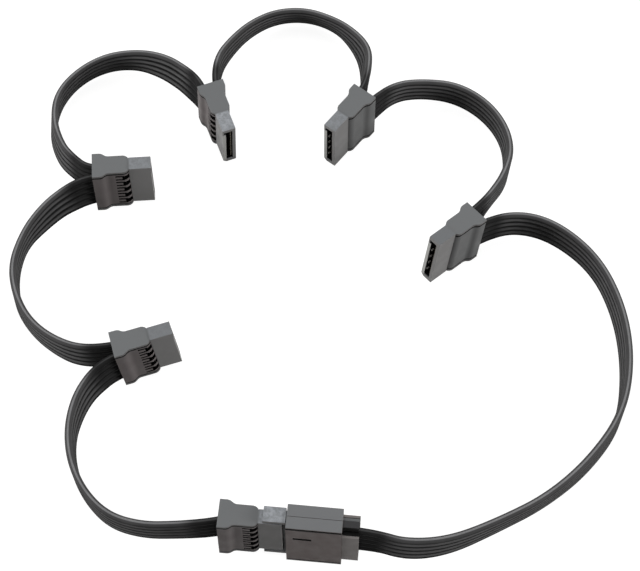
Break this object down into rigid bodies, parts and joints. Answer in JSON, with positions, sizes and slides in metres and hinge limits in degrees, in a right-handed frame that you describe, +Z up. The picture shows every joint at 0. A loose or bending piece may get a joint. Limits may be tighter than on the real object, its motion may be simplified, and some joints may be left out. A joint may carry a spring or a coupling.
{
  "type": "sata power splitter cable",
  "caption": "Flat ribbon power splitter cable laid in a loop on its edge, with a boxy plug inlet at one end and wavy-sided slot outlets along it, the end outlet parked in the inlet.",
  "frame": {"origin": "on the table under the middle of the inlet's box, at the seam between its two shells", "axes": "+Z up from the table, +X along the inlet's axis from its mating end to its ribbon, +Y towards the far side of the loop"},
  "size_m": [0.222, 0.222, 0.0279],
  "materials": {
    "moulding": "fine satin",
    "ribbon_jacket": "soft satin",
    "contact_metal": "plated"
  },
  "bodies": {
    "root": {"outlet_1_housing": "moulding", "outlet_1_window_cover": "moulding", "outlet_1_plain_cover": "moulding", "outlet_1_terminals": "contact_metal", "outlet_2_housing": "moulding", "outlet_2_window_cover": "moulding", "outlet_2_plain_cover": "moulding", "outlet_2_terminals": "contact_metal", "outlet_3_housing": "moulding", "outlet_3_window_cover": "moulding", "outlet_3_plain_cover": "moulding", "outlet_3_terminals": "contact_metal", "outlet_4_housing": "moulding", "outlet_4_window_cover": "moulding", "outlet_4_plain_cover": "moulding", "outlet_4_terminals": "contact_metal", "outlet_5_housing": "moulding", "outlet_5_window_cover": "moulding", "outlet_5_plain_cover": "moulding", "outlet_5_terminals": "contact_metal", "outlet_6_housing": "moulding", "outlet_6_window_cover": "moulding", "outlet_6_plain_cover": "moulding", "outlet_6_terminals": "contact_metal", "inlet_carrier": "moulding", "inlet_near_shell": "moulding", "inlet_far_shell": "moulding", "inlet_blades": "contact_metal", "ribbon_inlet_to_1": "ribbon_jacket", "ribbon_1_to_2": "ribbon_jacket", "ribbon_2_to_3": "ribbon_jacket", "ribbon_3_to_4": "ribbon_jacket", "ribbon_4_to_5": "ribbon_jacket", "ribbon_5_to_6": "ribbon_jacket"}
  },
  "joints": []
}
